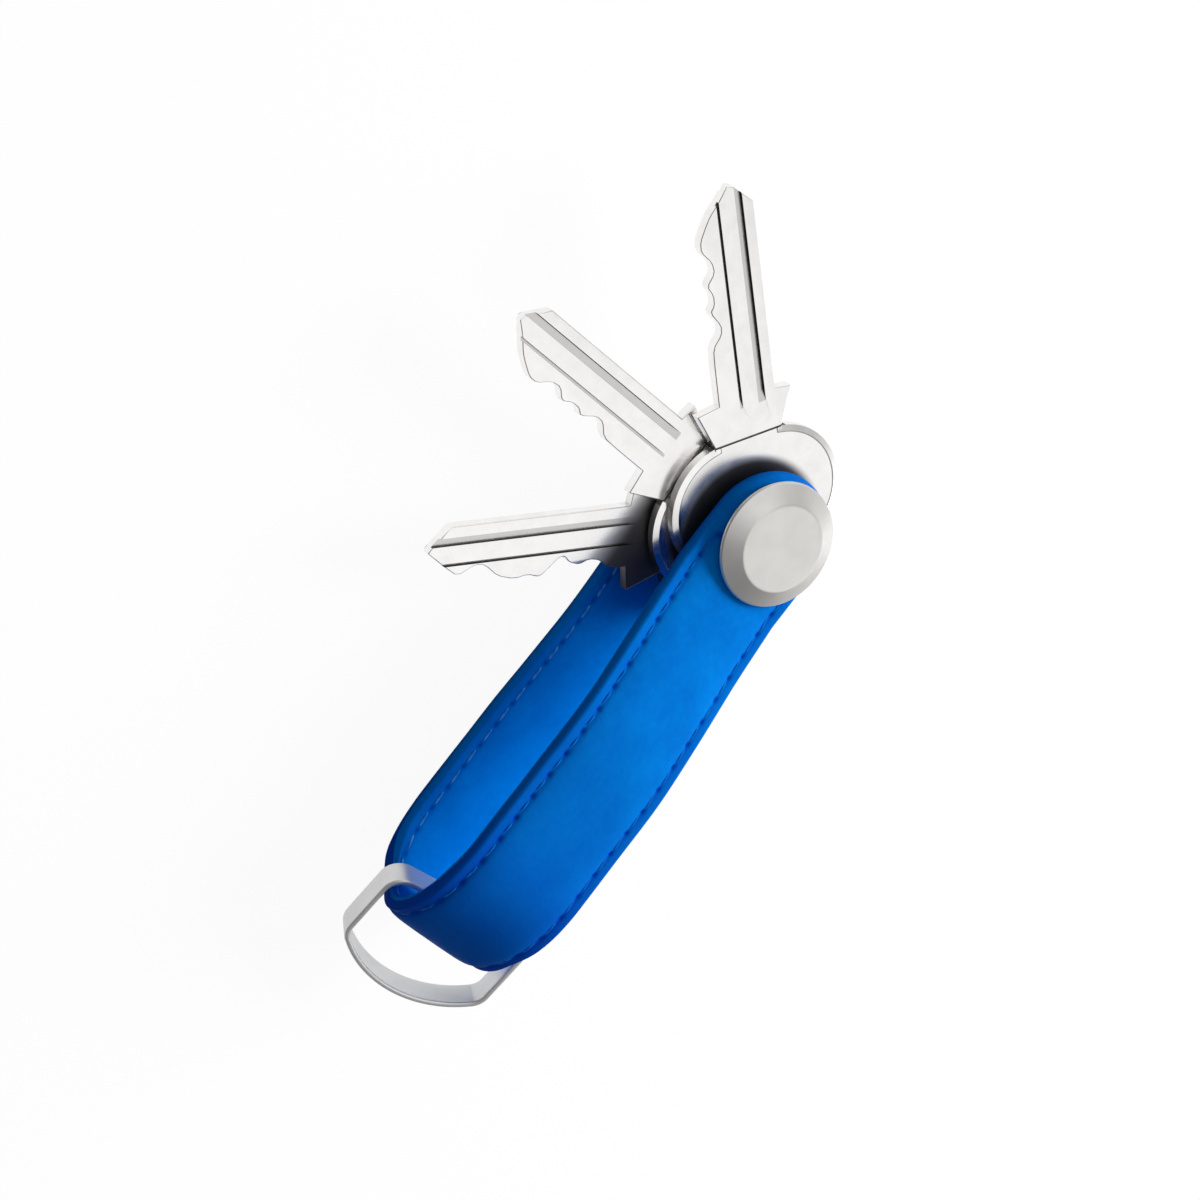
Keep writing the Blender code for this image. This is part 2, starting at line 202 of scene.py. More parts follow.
def dress(thing, material):
    thing.data.materials.clear()
    thing.data.materials.append(material)


def colourRamp(tree, source, stops):
    ramp = addNode(tree, "ShaderNodeValToRGB", links={"Fac": source})
    elements = ramp.color_ramp.elements
    elements[0].position, elements[0].color = stops[0][0], toLinear(stops[0][1])
    elements[1].position, elements[1].color = stops[-1][0], toLinear(stops[-1][1])
    for place, colour in stops[1:-1]:
        elements.new(place).color = toLinear(colour)
    return ramp.outputs["Color"]


leatherLook = {
    "patchSize": 9.0,
    "mottleSize": 1.1,
    "mottleShare": 0.35,
    "grainSize": 0.4,
    "grainDepth": 0.01,
    "creaseSize": 3.2,
    "creaseDepth": 0.03,
    "shine": 0.01,
    "shineTint": "#2FB4FF",
}


def leatherMaterial(name, dark, middle, light, burnishShadeColour, roughness):
    # vegetable-tanned calf, dyed through and finished with a thin pigment: fine pebbled grain, soft clouds
    # of tone, darker where it is burnished at the edge, and painted shade in the stitch valleys and holes,
    # on the lips, toward the fold and near the post
    material, tree, shader = newMaterial(name)
    place = addNode(tree, "ShaderNodeTexCoord").outputs["Object"]
    patches = addNode(
        tree, "ShaderNodeTexNoise",
        {"Scale": 1 / (leatherLook["patchSize"] * mm), "Detail": 3.0, "Roughness": 0.5},
        {"Vector": place},
    )
    mottle = addNode(
        tree, "ShaderNodeTexNoise",
        {"Scale": 1 / (leatherLook["mottleSize"] * mm), "Detail": 4.0, "Roughness": 0.6},
        {"Vector": place},
    )
    patchShare = addNode(
        tree, "ShaderNodeMath", {"operation": "MULTIPLY", 1: 1 - leatherLook["mottleShare"]},
        {0: patches.outputs["Fac"]},
    )
    blend = addNode(
        tree, "ShaderNodeMath", {"operation": "MULTIPLY_ADD", 1: leatherLook["mottleShare"]},
        {0: mottle.outputs["Fac"], 2: patchShare.outputs[0]},
    )
    tone = colourRamp(tree, blend.outputs[0], [(0.36, dark), (0.5, middle), (0.64, light)])
    # the real burnished edge and the painted shade share one mark and one dark colour
    burnishAndShade = addNode(tree, "ShaderNodeAttribute", {"attribute_name": "burnishAndShade"})
    colour = addNode(
        tree, "ShaderNodeMix", {"data_type": "RGBA", 7: toLinear(burnishShadeColour)},
        {0: burnishAndShade.outputs["Fac"], 6: tone},
    )
    tree.links.new(colour.outputs[2], shader.inputs["Base Color"])
    grain = addNode(
        tree, "ShaderNodeTexVoronoi",
        {"feature": "SMOOTH_F1", "Scale": 1 / (leatherLook["grainSize"] * mm), "Smoothness": 0.6,
         "Randomness": 1.0},
        {"Vector": place},
    )
    wrinkles = addNode(
        tree, "ShaderNodeTexNoise",
        {"Scale": 1 / (leatherLook["creaseSize"] * mm), "Detail": 5.0, "Roughness": 0.55,
         "Distortion": 0.6},
        {"Vector": place},
    )
    coarse = addNode(
        tree, "ShaderNodeBump",
        {"Strength": 0.7, "Distance": leatherLook["creaseDepth"] * mm},
        {"Height": wrinkles.outputs["Fac"]},
    )
    fine = addNode(
        tree, "ShaderNodeBump",
        {"Strength": 0.8, "Distance": leatherLook["grainDepth"] * mm},
        {"Height": grain.outputs["Distance"], "Normal": coarse.outputs["Normal"]},
    )
    tree.links.new(fine.outputs["Normal"], shader.inputs["Normal"])
    rough = addNode(
        tree, "ShaderNodeMapRange",
        {"From Min": 0.3, "From Max": 0.7, "To Min": roughness - 0.07, "To Max": roughness + 0.09},
        {"Value": mottle.outputs["Fac"]},
    )
    tree.links.new(rough.outputs["Result"], shader.inputs["Roughness"])
    shader.inputs["IOR"].default_value = 1.46
    shader.inputs["Specular IOR Level"].default_value = leatherLook["shine"]
    shader.inputs["Specular Tint"].default_value = toLinear(leatherLook["shineTint"])
    return material


def threadMaterial(name, colour, light):
    # bonded polyester thread, two plies twisted: a soft shine with fine slanting plies
    material, tree, shader = newMaterial(name)
    place = addNode(tree, "ShaderNodeTexCoord").outputs["Object"]
    plies = addNode(
        tree, "ShaderNodeTexWave",
        {"wave_type": "BANDS", "bands_direction": "DIAGONAL", "Scale": 0.35 / mm,
         "Distortion": 0.4, "Detail": 1.0},
        {"Vector": place},
    )
    tone = colourRamp(tree, plies.outputs["Fac"], [(0.0, colour), (1.0, light)])
    tree.links.new(tone, shader.inputs["Base Color"])
    bump = addNode(
        tree, "ShaderNodeBump", {"Strength": 0.5, "Distance": 0.04 * mm},
        {"Height": plies.outputs["Fac"]},
    )
    tree.links.new(bump.outputs["Normal"], shader.inputs["Normal"])
    shader.inputs["Roughness"].default_value = 0.6
    shader.inputs["Specular IOR Level"].default_value = 0.12
    return material


def blastedSteelMaterial(name, dark, light, roughness, grain):
    # stainless steel, bead blasted: an even satin with a very fine frosted grain
    material, tree, shader = newMaterial(name)
    place = addNode(tree, "ShaderNodeTexCoord").outputs["Object"]
    frost = addNode(
        tree, "ShaderNodeTexNoise",
        {"Scale": 1 / (grain * mm), "Detail": 3.0, "Roughness": 0.7}, {"Vector": place},
    )
    cloud = addNode(
        tree, "ShaderNodeTexNoise",
        {"Scale": 1 / (4.0 * mm), "Detail": 2.0, "Roughness": 0.5}, {"Vector": place},
    )
    tone = colourRamp(tree, cloud.outputs["Fac"], [(0.35, dark), (0.65, light)])
    tree.links.new(tone, shader.inputs["Base Color"])
    rough = addNode(
        tree, "ShaderNodeMapRange",
        {"From Min": 0.3, "From Max": 0.7, "To Min": roughness - 0.05, "To Max": roughness + 0.06},
        {"Value": frost.outputs["Fac"]},
    )
    tree.links.new(rough.outputs["Result"], shader.inputs["Roughness"])
    bump = addNode(
        tree, "ShaderNodeBump", {"Strength": 0.35, "Distance": 0.008 * mm},
        {"Height": frost.outputs["Fac"]},
    )
    tree.links.new(bump.outputs["Normal"], shader.inputs["Normal"])
    shader.inputs["Metallic"].default_value = 1.0
    return material


def nickelMaterial(name, degrees, headShade):
    # nickel-plated brass, milled along the blade: fine lengthwise marks, and painted shade: the marked cuts
    # and a band round the post are mixed dark, standing in for their shade and for the strap's shadow and
    # dark reflection on the heads
    material, tree, shader = newMaterial(name)
    coordinates = addNode(tree, "ShaderNodeTexCoord").outputs["Object"]
    along = addNode(
        tree, "ShaderNodeMapping",
        {"vector_type": "TEXTURE", "Rotation": (0.0, 0.0, math.radians(degrees)),
         "Scale": (14.0, 1.0, 1.0)},
        {"Vector": coordinates},
    )
    marks = addNode(
        tree, "ShaderNodeTexNoise",
        {"Scale": 1 / (0.22 * mm), "Detail": 4.0, "Roughness": 0.65},
        {"Vector": along.outputs["Vector"]},
    )
    wear = addNode(
        tree, "ShaderNodeTexNoise",
        {"Scale": 1 / (2.6 * mm), "Detail": 5.0, "Roughness": 0.62}, {"Vector": coordinates},
    )
    tone = colourRamp(tree, wear.outputs["Fac"], [(0.3, "#F2F0EE"), (0.66, "#FDFCFB")])
    # painted shade: the cut marks and the band round the post, where the strap shades the head, darken the
    # colour toward a near-black grey
    cut = addNode(tree, "ShaderNodeAttribute", {"attribute_name": "paintedShade"}).outputs["Fac"]
    shadeEdge, dark, widen = headShade
    flat = addNode(
        tree, "ShaderNodeVectorMath",
        {"operation": "MULTIPLY_ADD", 1: (1.0, widen, 0.0), 2: (0.5 * mm, 1.0 * mm, 0.0)},
        {0: coordinates},
    )
    fromPost = addNode(tree, "ShaderNodeVectorMath", {"operation": "LENGTH"}, {0: flat.outputs[0]})
    strapShadow = addNode(
        tree, "ShaderNodeMapRange",
        {"interpolation_type": "SMOOTHSTEP", "From Min": shadeEdge * mm, "From Max": dark * mm,
         "To Max": 0.92},
        {"Value": fromPost.outputs["Value"]},
    )
    paintedShade = addNode(
        tree, "ShaderNodeMath", {"operation": "MAXIMUM"}, {0: cut, 1: strapShadow.outputs["Result"]}
    ).outputs[0]
    colour = addNode(
        tree, "ShaderNodeMix", {"data_type": "RGBA", 7: toLinear("#2A2826")}, {0: paintedShade, 6: tone}
    )
    tree.links.new(colour.outputs[2], shader.inputs["Base Color"])
    rough = addNode(
        tree, "ShaderNodeMapRange",
        {"From Min": 0.3, "From Max": 0.7, "To Min": 0.17, "To Max": 0.25},
        {"Value": wear.outputs["Fac"]},
    )
    dull = addNode(
        tree, "ShaderNodeMath", {"operation": "MULTIPLY_ADD", 1: 0.3},
        {0: paintedShade, 2: rough.outputs["Result"]},
    )
    tree.links.new(dull.outputs[0], shader.inputs["Roughness"])
    bump = addNode(
        tree, "ShaderNodeBump", {"Strength": 0.18, "Distance": 0.004 * mm},
        {"Height": marks.outputs["Fac"]},
    )
    tree.links.new(bump.outputs["Normal"], shader.inputs["Normal"])
    shader.inputs["Metallic"].default_value = 1.0
    return material


outerLeather = leatherMaterial("dyedCalfLeather", "#046ECA", "#0476D2", "#047EDA", "#0444B2", 0.45)
innerLeather = leatherMaterial("dyedLiningLeather", "#007CDE", "#0084E6", "#008CEE", "#005AC2", 0.55)
outerThread = threadMaterial("polyesterThread", "#005CB6", "#006ECA")
innerThread = threadMaterial("polyesterThreadInside", "#2C8CE4", "#5CB0F4")
capSteel = blastedSteelMaterial("beadBlastedSteel", "#DEDCD9", "#E5E3E0", 0.38, 0.09)
ringSteel = blastedSteelMaterial("satinSteelBand", "#ECECEB", "#F1F1F0", 0.4, 0.12)
ringSteel.node_tree.nodes["Principled BSDF"].inputs["Metallic"].default_value = 0.7
washerSteel = blastedSteelMaterial("stampedSteel", "#A9A8A6", "#B8B7B5", 0.28, 0.2)
print("materials made")


strap = {
    "halfWidth": 10.0,
    "endSetback": 0.5,
    "postHole": 3.3,
    "armPlay": 0.3,
    "squeezeRound": 1.0,
    "flatReach": 9.0,
    "riseLength": 30.0,
    "riseHeight": 2.36,
    "spreadStart": 14.0,
    "spreadLength": 26.0,
    "foldHalfGap": 7.15,
    "foldStart": 55.9,
    "foldDepth": 12.8,
    "foldApexDrop": 1.1,
    "foldPower": 1.9,
    "rowSpacing": 0.36,
    "fanRows": 40,
    "seamLift": 0.92,
    "lipLift": 1.86,
    "foldLipLift": 2.2,
    "edgeRound": 0.7,
    "crownLift": 2.86,
    "foldCrownLift": 2.72,
    "crownReach": 2.3,
    "foldCrownReach": 0.9,
    "bendStart": 57.0,
    "bendFull": 66.0,
    "capSeat": 2.97,
    "capRadius": 9.0,
    "besideCap": 2.72,
    "fullness": 0.045,
    "fullSpan": (22.0, 46.0, 60.0, 69.0),
    "squeezeSpan": (60.0, 64.5),
    "squeezeHeights": (1.4, 4.6, 13.5, 16.5),
    "barWear": 0.25,
    "barWearSpan": (61.5, 64.5),
}
stitch = {
    "inset": 2.0,
    "pitch": 3.6,
    "first": 4.0,
    "holeRadius": 0.34,
    "holeDepth": 0.42,
    "rowDepth": 0.08,
    "rowWidth": 0.42,
    "threadRadius": 0.16,
    "slant": 0.1,
}

ring = {
    "thickness": 0.85,
    "width": 4.1,
    "halfSpan": 11.05,
    "length": 15.4,
    "bowRise": 4.55,
    "barBend": 2.2,
    "bowBend": 2.4,
    "edgeRound": 0.3,
    "centre": (0.3, -65.4, -8.6),
    "tilt": (22.5, -12.5, 7.4),
}

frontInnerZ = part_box("front_washer")[1].z / mm + 0.3
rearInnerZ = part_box("spacer_3")[0].z / mm - 0.3
middleZ = (frontInnerZ + rearInnerZ) / 2
clampHalfGap = (frontInnerZ - rearInnerZ) / 2


def legAt(y):
    rise = strap["riseHeight"] * math.sin(
        math.pi / 2 * min(max((-y - strap["flatReach"]) / strap["riseLength"], 0.0), 1.0)
    )
    spread = easeBetween(-y, strap["spreadStart"], strap["spreadStart"] + strap["spreadLength"])
    return middleZ + rise, clampHalfGap + (strap["foldHalfGap"] - clampHalfGap) * spread


def strapPath():
    # the inner face seen along X, rear leg, fold and front leg, at even steps, with its normals
    legYs = [-strap["endSetback"] - (strap["foldStart"] - strap["endSetback"]) * i / 240 for i in range(240)]
    legs = [(y, *legAt(y)) for y in legYs]
    raw = [Vector((y, centre - gap)) for y, centre, gap in legs]
    foldCentre = middleZ + strap["riseHeight"]
    for i in range(401):
        turn = math.pi * (i / 400 - 0.5)
        depth = max(math.cos(turn), 0.0) ** (2 / strap["foldPower"])
        height = math.copysign(abs(math.sin(turn)) ** (2 / strap["foldPower"]), math.sin(turn))
        rise = strap["foldHalfGap"] * height - strap["foldApexDrop"] * (1 - abs(height))
        raw.append(Vector((-strap["foldStart"] - strap["foldDepth"] * depth, foldCentre + rise)))
    raw += [Vector((y, centre + gap)) for y, centre, gap in reversed(legs)]
    lengths = [0.0]
    for before, after in zip(raw, raw[1:]):
        lengths.append(lengths[-1] + (after - before).length)
    count = round(lengths[-1] / strap["rowSpacing"])
    points = []
    j = 0
    for i in range(count + 1):
        want = lengths[-1] * i / count
        while j < len(raw) - 2 and lengths[j + 1] < want:
            j += 1
        span = max(lengths[j + 1] - lengths[j], 1e-9)
        points.append(raw[j].lerp(raw[j + 1], min((want - lengths[j]) / span, 1.0)))
    normals = []
    for i in range(len(points)):
        along = points[min(i + 2, count)] - points[max(i - 2, 0)]
        along.normalize()
        normals.append(Vector((-along.y, along.x)))
    return points, normals, lengths[-1] / count


pathPoints, pathNormals, pathStep = strapPath()
pathLast = len(pathPoints) - 1


def stitchPlaces():
    # rows of the path where the needle went through, from the front end round the fold to the rear end
    rows = []
    walked = stitch["first"] - strap["endSetback"]
    while walked < pathLast * pathStep - stitch["first"]:
        rows.append(pathLast - walked / pathStep)
        walked += stitch["pitch"]
    return rows


needleRows = stitchPlaces()


def sewn(row, inset):
    # how deep the thread has pulled the leather in at this place, and how near a needle hole is
    fromRow = (inset - stitch["inset"]) / stitch["rowWidth"]
    valley = math.exp(-fromRow * fromRow)
    hole = 0.0
    for needleRow in needleRows:
        away = (row - needleRow) * pathStep
        if abs(away) < 1.5:
            across = inset - stitch["inset"]
            hole += math.exp(-(away * away + across * across) / stitch["holeRadius"] ** 2)
    return valley, min(hole, 1.0)


def whereBent(y, flat, folded):
    # a size of the outer face that changes as the leather goes into the fold
    bent = easeBetween(-y, strap["bendStart"], strap["bendFull"])
    return strap[flat] + (strap[folded] - strap[flat]) * bent


def outerLift(inset, fromPost, row):
    # the outer face rises from the lip to the crown, and lies pressed down under the cap
    y = pathPoints[row].x
    lip = whereBent(y, "lipLift", "foldLipLift")
    crown = whereBent(y, "crownLift", "foldCrownLift")
    reach = whereBent(y, "crownReach", "foldCrownReach")
    lift = lip + (crown - lip) * (1 - math.exp(-max(inset - stitch["inset"], 0.0) / reach))
    valley, hole = sewn(row, inset)
    lift -= stitch["rowDepth"] * valley + stitch["holeDepth"] * hole * 0.55
    nearCap = easeBetween(fromPost, strap["capRadius"] + 1.0, strap["capRadius"] - 0.6)
    seat = strap["capSeat"] if fromPost < strap["capRadius"] else strap["besideCap"]
    return lift + (seat - lift) * nearCap, valley, hole


def liningLift(inset, fromPost, row):
    # the lining is flat but for its stitches, and the swinging ring has worn the lips of the fold thin
    valley, hole = sewn(row, inset)
    worn = easeBetween(inset, 1.9, 1.2) * easeBetween(-pathPoints[row].x, *strap["barWearSpan"])
    lift = 0.08 * valley + 0.16 * hole + strap["barWear"] * worn
    flat = easeBetween(fromPost, strap["capRadius"] - 0.5, strap["capRadius"] - 2.0)
    return lift * (1 - flat), valley, hole


faceInsets = [
    4.5, 4.0, 3.6, 3.3, 3.0, 2.8, 2.62, 2.48, 2.36, 2.24, 2.12, 2.0, 1.88, 1.76, 1.64, 1.52,
    1.38, 1.2, 1.02, 0.84,
]


def fullness(y):
    # the sewn strap has spread a little toward the fold
    start, full, last, end = strap["fullSpan"]
    return 1 + strap["fullness"] * easeBetween(-y, start, full) * easeBetween(-y, end, last)


def squeezeByRing(sheet):
    # the arms of the ring press the edges of the fold inward, as far as they swing
    slope = Euler([math.radians(angle) for angle in ring["tilt"]], "XYZ").to_matrix().col[0]
    armFace = ring["halfSpan"] - ring["thickness"] - strap["armPlay"]
    top, under, over, bottom = strap["squeezeHeights"]
    for vertex in sheet.data.vertices:
        spot = vertex.co / mm
        amount = easeBetween(-spot.y, *strap["squeezeSpan"])
        amount *= easeBetween(-spot.z, top, under) * easeBetween(-spot.z, bottom, over)
        spot.y = min(spot.y, ring["centre"][1] + ring["width"] / 2)
        side = (spot - Vector(ring["centre"])).dot(slope)
        beyond = abs(side) - (armFace - strap["squeezeRound"])
        if amount > 0 and beyond > 0:
            kept = strap["squeezeRound"] * (1 - math.exp(-beyond / strap["squeezeRound"]))
            vertex.co.x -= math.copysign((beyond - kept) * amount / slope.x, side) * mm


def foldShade(y):
    # painted shade: the outer leather is made darker from the cap to the fold, standing in for the fold
    # turning away from the light
    return 0.2 * easeBetween(-y, 12.0, 48.0) + 0.5 * easeBetween(-y, 44.0, 68.0)


def liningShade(y):
    # painted shade: the lining is made darker near the post, standing in for the shade of the front leg and
    # the keys
    return 0.6 * easeBetween(-y, 26.0, 8.0)


def strapLayer(name, faceLift, backLift, tone, material, seed):
    # one leather as half a sheet from the centre line round the edge and back, then mirrored
    innerColumns = 12
    edgeColumns = 9
    backColumns = 7
    columns = innerColumns + len(faceInsets) + edgeColumns + backColumns
    fan = strap["fanRows"]
    rows = fan + len(pathPoints) + fan
    burnishAndShadeAt = {}

    def rowPlace(row):
        # the row of the path, and how far the grid has turned round the strap's round end
        if row < fan:
            return 0, math.pi / 2 * (1 - row / fan)
        if row >= fan + len(pathPoints):
            return pathLast, math.pi / 2 * (row - fan - pathLast) / fan
        return row - fan, 0.0

    def columnPlace(column, deepest):
        # the distance in from the edge, the share of the way round the edge, and whether it is the face
        if column < innerColumns:
            return deepest + (faceInsets[0] - deepest) * column / innerColumns, 0.0, True
        column -= innerColumns
        if column < len(faceInsets):
            return faceInsets[column], 0.0, True
        column -= len(faceInsets)
        if column < edgeColumns:
            share = column / (edgeColumns - 1)
            return strap["edgeRound"] * (1 - math.sin(math.pi / 2 * share)), share, False
        return deepest * (column - edgeColumns + 1) / backColumns, 1.0, False

    def place(row, column):
        pathRow, turn = rowPlace(row)
        point = pathPoints[pathRow]
        normal = pathNormals[pathRow]
        fromEnd = abs(point.x + strap["endSetback"])
        inner = math.sqrt(max(strap["postHole"] ** 2 - fromEnd**2, 0.0))
        inset, share, onFace = columnPlace(column, strap["halfWidth"] - inner)
        radial = strap["halfWidth"] - inset
        x = radial * math.cos(turn)
        y = point.x + radial * math.sin(turn)
        fromPost = math.hypot(x, y) if point.x > -20 else 99.0
        high, valley, hole = faceLift(max(inset, strap["edgeRound"]), fromPost, pathRow)
        lift = backLift + (high - backLift) * math.cos(math.pi / 2 * share)
        if onFace:
            wobble = noise.noise(Vector((x * 0.16 + seed, point.x * 0.16, point.y * 0.3)))
            lift += 0.05 * wobble * min(inset / 3, 1.0)
        sway = noise.noise(Vector((seed, point.x * 0.12, point.y * 0.12))) * 0.09
        x = (x + sway * (1 - min(inset / 5, 1.0)) * math.cos(turn)) * fullness(point.x)
        offset = normal * lift
        # painted shade: the stitch valleys and holes, the lips outside the stitch rows and the caller's fold
        # or post shade are marked dark, beside the real burnish at the very edge
        burnish = max(0.0, 1 - inset / 0.3) * 0.12
        lip = 0.27 * easeBetween(inset, stitch["inset"] + 0.3, stitch["inset"] - 0.3)
        burnishAndShadeAt[row, column] = min(1.0, burnish + 0.3 * valley + 0.9 * hole + lip + tone(point.x))
        return x, y + offset.x, point.y + offset.y

    sheet = gridPiece(name, rows, columns, place)
    burnishAndShade = sheet.data.attributes.new("burnishAndShade", "FLOAT", "POINT")
    # the grid's points run row by row
    for vertex in sheet.data.vertices:
        row, column = divmod(vertex.index, columns)
        burnishAndShade.data[vertex.index].value = burnishAndShadeAt[row, column]
    mirror = sheet.modifiers.new("mirror", "MIRROR")
    mirror.merge_threshold = 0.00002
    applyAll(sheet)
    tidyMesh(sheet, 0.00001)
    # the wall of each post hole closes the sheet
    for front in (True, False):
        pick(sheet)
        bpy.ops.object.mode_set(mode="EDIT")
        bpy.ops.mesh.select_mode(type="EDGE")
        bpy.ops.mesh.select_all(action="DESELECT")
        bpy.ops.mesh.select_non_manifold()
        bpy.ops.object.mode_set(mode="OBJECT")
        for edge in sheet.data.edges:
            ends = [sheet.data.vertices[i].co for i in edge.vertices]
            if any((end.z / mm > middleZ) != front for end in ends):
                edge.select = False
        bpy.ops.object.mode_set(mode="EDIT")
        bpy.ops.mesh.bridge_edge_loops()
        bpy.ops.object.mode_set(mode="OBJECT")
    tidyMesh(sheet, 0.000001)
    squeezeByRing(sheet)
    smoothByAngle(sheet, 50)
    dress(sheet, material)
    return sheet


seam = strap["seamLift"]
outerSheet = strapLayer("outerLeather", outerLift, seam + 0.02, foldShade, outerLeather, 3.7)
liningSheet = strapLayer("liningLeather", liningLift, seam - 0.02, liningShade, innerLeather, 8.1)
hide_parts("strap_outer", "strap_padding")
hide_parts("strap_lining")
for sheet, slotName in ((outerSheet, "outer_leather"), (liningSheet, "lining_leather")):
    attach(sheet, "holder")
print("strap made", len(outerSheet.data.polygons), len(liningSheet.data.polygons))


def pathAt(row):
    low = min(int(row), pathLast - 1)
    share = row - low
    point = pathPoints[low].lerp(pathPoints[low + 1], share)
    normal = pathNormals[low].lerp(pathNormals[low + 1], share).normalized()
    return point, normal


def stitchRow(name, lift, outwards, material):
    # short bowed threads on both sides of the strap, each going down into its two needle holes
    rings = 11
    sides = 8
    vertices = []
    faces = []
    for start, end in zip(needleRows, needleRows[1:]):
        for side in (-1, 1):
            base = len(vertices)
            for loop in range(rings):
                share = loop / (rings - 1)
                point, normal = pathAt(start + (end - start) * (0.07 + 0.86 * share))
                bow = 1 - abs(2 * share - 1) ** 3.2
                x = strap["halfWidth"] - stitch["inset"] + stitch["slant"] * (2 * share - 1)
                centre = point + normal * (lift(point.x) + (bow - 1) * stitch["holeDepth"] * outwards)
                radius = stitch["threadRadius"] * (0.72 + 0.28 * bow)
                for k in range(sides):
                    turn = 2 * math.pi * k / sides
                    spot = centre + normal * radius * 0.8 * math.sin(turn)
                    across = radius * 1.15 * math.cos(turn)
                    vertices.append((side * (x * fullness(point.x) + across) * mm, spot.x * mm, spot.y * mm))
            for loop in range(rings - 1):
                for k in range(sides):
                    a = base + loop * sides + k
                    b = base + loop * sides + (k + 1) % sides
                    faces.append((a, b, b + sides, a + sides))
            faces.append(tuple(base + k for k in range(sides)))
            faces.append(tuple(base + (rings - 1) * sides + k for k in range(sides)))
    mesh = bpy.data.meshes.new(name)
    mesh.from_pydata(vertices, [], faces)
    thing = bpy.data.objects.new(name, mesh)
    bpy.context.collection.objects.link(thing)
    tidyMesh(thing, 0.0000001)
    bpy.ops.object.shade_smooth()
    squeezeByRing(thing)
    dress(thing, material)
    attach(thing, "holder")
    return thing


outerStitching = stitchRow(
    "outerStitching", lambda y: whereBent(y, "lipLift", "foldLipLift") - stitch["rowDepth"] + 0.03,
    1, outerThread,
)
innerStitching = stitchRow("innerStitching", lambda y: 0.06, -1, innerThread)
print("stitching made")


cap = {
    "radius": 9.0,
    "flatRadius": 6.2,
    "rise": 1.6,
    "rim": 0.55,
    "edgeRound": 0.3,
    "postRadius": 2.5,
    "boreRadius": 2.0,
    "shankRadius": 1.7,
    "slotWidth": 1.6,
    "slotDepth": 0.7,
    "steps": 128,
}


def selectFlatFace(thing, height):
    # the one face of an upright disc that lies at this height
    bpy.ops.object.mode_set(mode="OBJECT")
    for polygon in thing.data.polygons:
        polygon.select = abs(polygon.center.z / mm - height) < 0.001 and abs(polygon.normal.z) > 0.9
    for edge in thing.data.edges:
        edge.select = False
    for vertex in thing.data.vertices:
        vertex.select = False
    for polygon in thing.data.polygons:
        if polygon.select:
            for index in polygon.vertices:
                thing.data.vertices[index].select = True
    bpy.ops.object.mode_set(mode="EDIT")
    bpy.ops.mesh.select_mode(type="FACE")


def scaledTo(ratio):
    bpy.ops.transform.resize(value=(ratio, ratio, 1.0), center_override=(0.0, 0.0, 0.0))


def capPiece(name):
    # a disc at z 0: a low rim, a wide chamfer and a flat centre, all edges softened
    deselectAll()
    bpy.ops.mesh.primitive_cylinder_add(
        vertices=cap["steps"], radius=cap["radius"] * mm, depth=cap["rim"] * mm,
        location=(0.0, 0.0, -(cap["rise"] + cap["rim"] / 2) * mm),
    )
    thing = named(name)
    placeInMesh(thing)
    bpy.ops.object.mode_set(mode="EDIT")
    bpy.ops.mesh.select_mode(type="FACE")
    selectFlatFace(thing, -cap["rise"])
    bpy.ops.mesh.extrude_region_move(TRANSFORM_OT_translate={"value": (0.0, 0.0, cap["rise"] * mm)})
    scaledTo(cap["flatRadius"] / cap["radius"])
    bpy.ops.object.mode_set(mode="OBJECT")
    roundEdges(thing, cap["edgeRound"], 4, 20)
    return thing


def stepDown(thing, height, radius, toRadius, depth):
    # the bottom face shrinks to a smaller radius and is drawn down as a shank
    selectFlatFace(thing, height)
    bpy.ops.mesh.extrude_region_move(TRANSFORM_OT_translate={"value": (0.0, 0.0, 0.0)})
    scaledTo(toRadius / radius)
    bpy.ops.mesh.extrude_region_move(TRANSFORM_OT_translate={"value": (0.0, 0.0, -depth * mm)})
    bpy.ops.object.mode_set(mode="OBJECT")


underside = -(cap["rise"] + cap["rim"])
undersideRadius = cap["radius"] - cap["edgeRound"]
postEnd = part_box("front_cap")[0].z / mm
frontCap = capPiece("frontCap")
stepDown(frontCap, underside, undersideRadius, cap["postRadius"], underside - postEnd)
stepDown(frontCap, postEnd, cap["postRadius"], cap["boreRadius"], postEnd - underside - 1.0)
tidyMesh(frontCap)
smoothByAngle(frontCap, 40)
flatFaces(frontCap)
dress(frontCap, capSteel)
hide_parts("front_cap")

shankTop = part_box("rear_cap")[1].z / mm
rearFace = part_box("rear_cap")[0].z / mm
rearCap = capPiece("rearCap")
stepDown(rearCap, underside, undersideRadius, cap["shankRadius"], shankTop - (rearFace - underside))
deselectAll()
rearCap.rotation_euler = (math.pi, 0.0, 0.0)
rearCap.location = (0.0, 0.0, rearFace * mm)
placeInMesh(rearCap)
coinSlot = blockPiece(
    "coinSlot",
    (-cap["radius"] - 1, -cap["slotWidth"] / 2, rearFace - 1),
    (cap["radius"] + 1, cap["slotWidth"] / 2, rearFace + cap["slotDepth"]),
)
boolean(rearCap, coinSlot, "DIFFERENCE")
tidyMesh(rearCap)
smoothByAngle(rearCap, 35)
dress(rearCap, capSteel)
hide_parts("rear_cap")
for thing in (frontCap, rearCap):
    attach(thing, "holder")
print("caps made")


